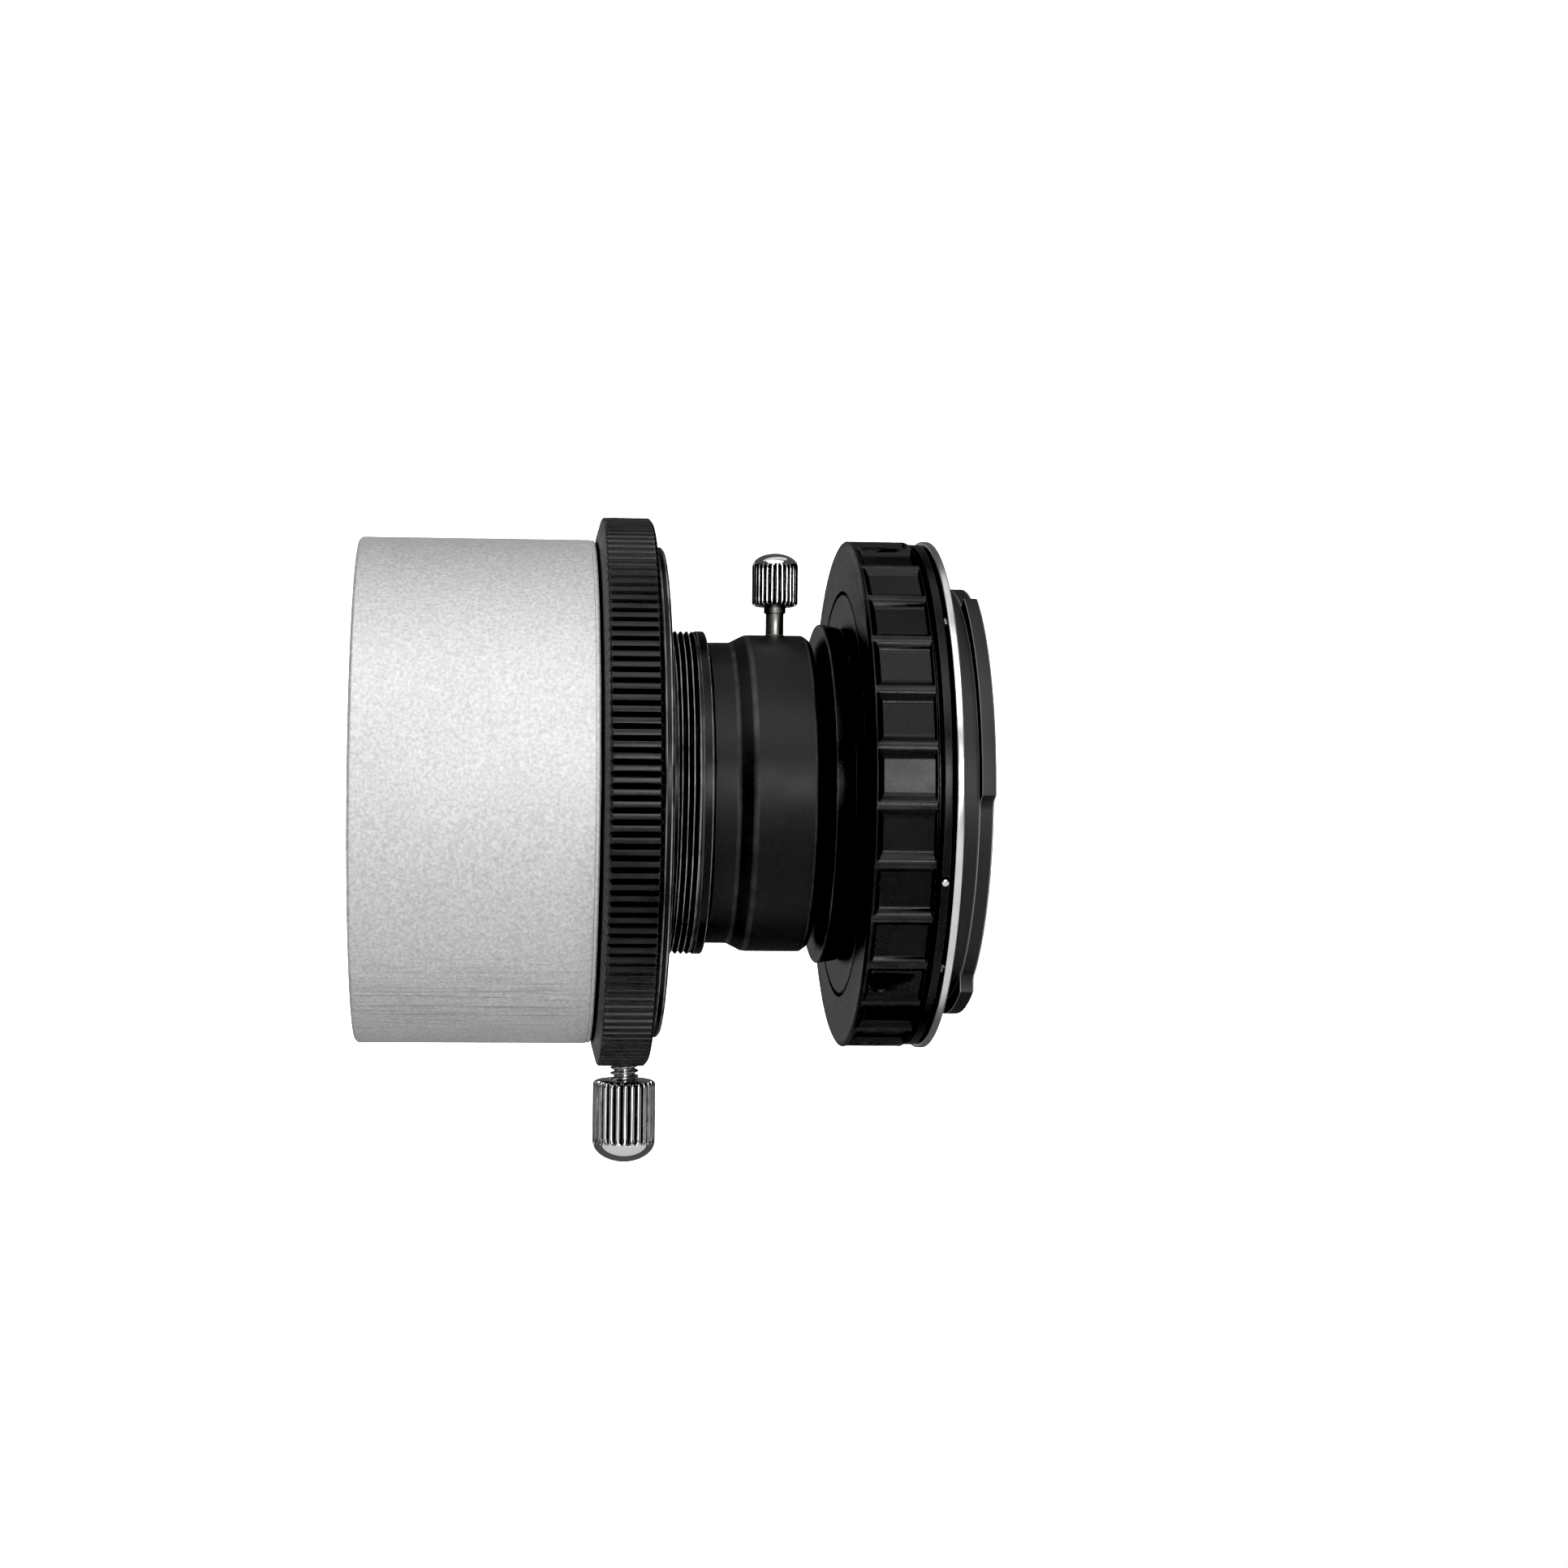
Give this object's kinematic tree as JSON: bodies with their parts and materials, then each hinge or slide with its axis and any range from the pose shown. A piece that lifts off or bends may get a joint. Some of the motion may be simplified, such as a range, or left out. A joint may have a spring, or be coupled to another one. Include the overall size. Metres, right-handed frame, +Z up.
{
  "type": "spectroscope",
  "caption": "In-line slitless star spectroscope: silver draw tube, knurled clamp collar, stepped adapter and holder with thumbscrews, grating nosepiece, ribbed camera ring.",
  "frame": {"origin": "on the light's axis, in the plane of the draw tube's telescope end", "axes": "+X along the light's path towards the camera, +Z up on the holder's thumbscrew side, +Y across, away from the side that the set screw shows on"},
  "size_m": [0.078, 0.071, 0.0836],
  "materials": {
    "satin_silver": "bead-blasted and clear anodised, satin",
    "black_anodised": "black anodised, satin",
    "bright_steel": "bright turned",
    "chrome_plate": "polished plate",
    "spring_brass": "plain turned brass",
    "nickel_plate": "bright satin nickel plate",
    "clear_glass": "polished, coated",
    "grating_glass": "finely ruled transmission grating"
  },
  "bodies": {
    "telescope_side": {"draw_tube": "satin_silver", "clamp_collar": "black_anodised"},
    "collar_stud": {"collar_screw_stud": "bright_steel"},
    "collar_knob": {"collar_screw_knob": "chrome_plate"},
    "collar_ring": {"collar_compression_ring": "spring_brass"},
    "adapter": {"reducer_adapter": "black_anodised", "eyepiece_holder": "black_anodised"},
    "holder_stud": {"holder_screw_stud": "bright_steel"},
    "holder_knob": {"holder_screw_knob": "chrome_plate"},
    "holder_ring": {"holder_compression_ring": "spring_brass"},
    "nosepiece": {"nosepiece_barrel": "black_anodised", "nosepiece_flange": "black_anodised", "t_ring_inner": "black_anodised"},
    "grating": {"grating_cell": "black_anodised", "grating_disc": "grating_glass", "cover_glass": "clear_glass", "grating_retaining_ring": "black_anodised"},
    "camera_ring": {"t_ring_outer": "black_anodised", "set_screw_1": "bright_steel", "set_screw_2": "bright_steel", "set_screw_3": "bright_steel", "bayonet_plate": "nickel_plate", "plate_screw_1": "bright_steel", "plate_screw_2": "bright_steel", "plate_screw_3": "bright_steel", "plate_screw_4": "bright_steel", "index_peg": "bright_steel"}
  },
  "joints": [
    {"name": "collar_screw_travel", "type": "slide", "parent": "telescope_side", "child": "collar_stud", "axis": [0, 0, -1], "range_m": [0, 0.0021]},
    {"name": "collar_screw_turn", "type": "hinge", "parent": "collar_stud", "child": "collar_knob", "pos_m": [0.0347, 0, -0.0413], "axis": [0, 0, -1], "range_deg": [0, 1080]},
    {"name": "adapter_turn", "type": "hinge", "parent": "telescope_side", "child": "collar_ring", "pos_m": [0.0347, 0, 0], "axis": [1, 0, 0], "continuous": true},
    {"name": "adapter_slide", "type": "slide", "parent": "collar_ring", "child": "adapter", "axis": [1, 0, 0], "range_m": [0, 0.02]},
    {"name": "holder_screw_travel", "type": "slide", "parent": "adapter", "child": "holder_stud", "axis": [0, 0, 1], "range_m": [0, 0.0015]},
    {"name": "holder_screw_turn", "type": "hinge", "parent": "holder_stud", "child": "holder_knob", "pos_m": [0.0538, 0, 0.0278], "axis": [0, 0, 1], "range_deg": [0, 1080]},
    {"name": "nosepiece_turn", "type": "hinge", "parent": "adapter", "child": "holder_ring", "pos_m": [0.0538, 0, 0], "axis": [1, 0, 0], "continuous": true},
    {"name": "nosepiece_slide", "type": "slide", "parent": "holder_ring", "child": "nosepiece", "axis": [1, 0, 0], "range_m": [0, 0.02]},
    {"name": "grating_turn", "type": "hinge", "parent": "nosepiece", "child": "grating", "pos_m": [0.032, 0, 0], "axis": [1, 0, 0], "range_deg": [-180, 180]},
    {"name": "camera_ring_turn", "type": "hinge", "parent": "nosepiece", "child": "camera_ring", "pos_m": [0.0651, 0, 0], "axis": [1, 0, 0], "continuous": true}
  ],
  "couplings": [
    {"joint": "collar_screw_turn", "follows": "collar_screw_travel", "rad_per_m": 8976},
    {"joint": "holder_screw_turn", "follows": "holder_screw_travel", "rad_per_m": 12566}
  ]
}
